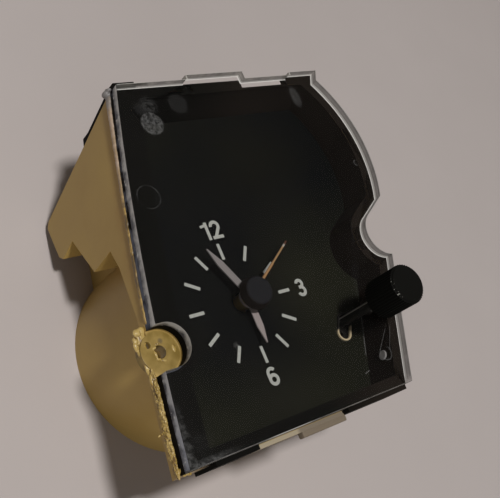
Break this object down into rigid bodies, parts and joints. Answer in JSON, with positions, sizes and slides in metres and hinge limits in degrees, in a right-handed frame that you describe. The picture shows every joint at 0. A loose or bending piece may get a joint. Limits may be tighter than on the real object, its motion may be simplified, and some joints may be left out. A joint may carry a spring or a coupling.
{
  "type": "car dashboard clock",
  "caption": "Dashboard clock with clear lens, black dial and hands, push-and-turn setting knob, moulded housing with light box and screw ear, and a quartz stepping movement.",
  "frame": {"origin": "on the hand axis, on the flat back of the movement tub", "axes": "+Z out of the dial towards the viewer, +Y to twelve o'clock, +X to three o'clock"},
  "size_m": [0.1045, 0.1069, 0.076],
  "materials": {
    "clear_acrylic": "polished, scuffed at the edges",
    "black_plastic": "moulded",
    "white_plastic": "moulded",
    "black_paint": "matt printed",
    "white_hand": "matt",
    "orange_hand": "matt",
    "dark_steel": "blackened",
    "steel": "turned",
    "brass": "stamped",
    "magnet": "ground",
    "copper_coil": "enamelled wire",
    "board": "laminate",
    "blue_sleeve": "sleeved can",
    "bulb_glass": "clear",
    "cream_plastic": "moulded"
  },
  "bodies": {
    "case": {"lens": "clear_acrylic", "mask": "black_plastic", "mask_rivet": "white_plastic", "dial_plate": "black_paint", "shaft_bush": "cream_plastic", "set_spring": "steel", "setting_stud": "steel", "motion_stud": "steel", "stator": "steel", "stator_posts": "brass", "motor_coil": "copper_coil", "front_plate": "brass", "back_plate": "brass", "pillars": "steel", "circuit_board": "board", "board_posts": "steel", "driver_chip": "black_plastic", "quartz_crystal": "steel", "capacitor": "blue_sleeve", "terminal_blades": "brass", "lamp_holder": "white_plastic", "lamp_bulb": "bulb_glass", "housing": "cream_plastic", "rear_cover": "cream_plastic", "cover_screws": "steel"},
    "knob_carrier": {"spring_washer": "steel"},
    "knob": {"set_knob": "black_plastic", "set_shaft": "dark_steel", "set_pinion": "brass"},
    "setting": {"setting_wheel": "brass"},
    "motion": {"motion_wheel": "brass"},
    "hour": {"hour_hand": "white_hand", "hour_wheel": "brass", "hour_tube": "brass"},
    "minute": {"minute_hand": "white_hand", "cannon_pinion": "brass", "cannon_tube": "steel"},
    "second": {"second_hand": "orange_hand", "hand_cap": "black_plastic", "second_wheel": "brass", "second_arbor": "steel"},
    "centre": {"centre_wheel": "brass", "centre_tube": "steel"},
    "third": {"third_wheel": "brass", "third_arbor": "steel"},
    "intermediate": {"intermediate_wheel": "white_plastic", "intermediate_arbor": "steel"},
    "rotor": {"rotor_pinion": "white_plastic", "rotor_magnet": "magnet", "rotor_arbor": "steel"}
  },
  "joints": [
    {"name": "knob_push", "type": "slide", "parent": "case", "child": "knob_carrier", "axis": [0, 0, -1], "range_m": [0, 0.0018], "stiffness_N_per_m": 400, "springref_m": -0.003, "deforming": ["set_spring"]},
    {"name": "knob_turn", "type": "hinge", "parent": "knob_carrier", "child": "knob", "pos_m": [0.03321, -0.01389, 0.035], "axis": [0, 0, -1], "continuous": true},
    {"name": "setting_turn", "type": "hinge", "parent": "case", "child": "setting", "pos_m": [0.02491, -0.01042, 0.035], "axis": [0, 0, -1], "continuous": true},
    {"name": "motion_turn", "type": "hinge", "parent": "case", "child": "motion", "pos_m": [0.01107, -0.00463, 0.035], "axis": [0, 0, -1], "continuous": true},
    {"name": "hour_turn", "type": "hinge", "parent": "case", "child": "hour", "pos_m": [0, 0, 0.035], "axis": [0, 0, -1], "continuous": true},
    {"name": "minute_turn", "type": "hinge", "parent": "case", "child": "minute", "pos_m": [0, 0, 0.035], "axis": [0, 0, -1], "continuous": true},
    {"name": "second_turn", "type": "hinge", "parent": "case", "child": "second", "pos_m": [0, 0, 0.035], "axis": [0, 0, -1], "continuous": true},
    {"name": "centre_turn", "type": "hinge", "parent": "case", "child": "centre", "pos_m": [0, 0, 0.035], "axis": [0, 0, -1], "continuous": true},
    {"name": "third_turn", "type": "hinge", "parent": "case", "child": "third", "pos_m": [0.00177, 0.01005, 0.035], "axis": [0, 0, -1], "continuous": true},
    {"name": "intermediate_turn", "type": "hinge", "parent": "case", "child": "intermediate", "pos_m": [-0.00987, -0.00359, 0.035], "axis": [0, 0, -1], "continuous": true},
    {"name": "rotor_turn", "type": "hinge", "parent": "case", "child": "rotor", "pos_m": [-0.01468, -0.01047, 0.035], "axis": [0, 0, -1], "continuous": true}
  ],
  "couplings": [
    {"joint": "setting_turn", "follows": "knob_turn", "ratio": -0.5},
    {"joint": "motion_turn", "follows": "knob_turn", "ratio": 0.33333},
    {"joint": "minute_turn", "follows": "knob_turn", "ratio": -1},
    {"joint": "hour_turn", "follows": "knob_turn", "ratio": -0.083333},
    {"joint": "intermediate_turn", "follows": "second_turn", "ratio": -5},
    {"joint": "rotor_turn", "follows": "second_turn", "ratio": 30},
    {"joint": "third_turn", "follows": "second_turn", "ratio": -0.13333},
    {"joint": "centre_turn", "follows": "second_turn", "ratio": 0.016667}
  ]
}
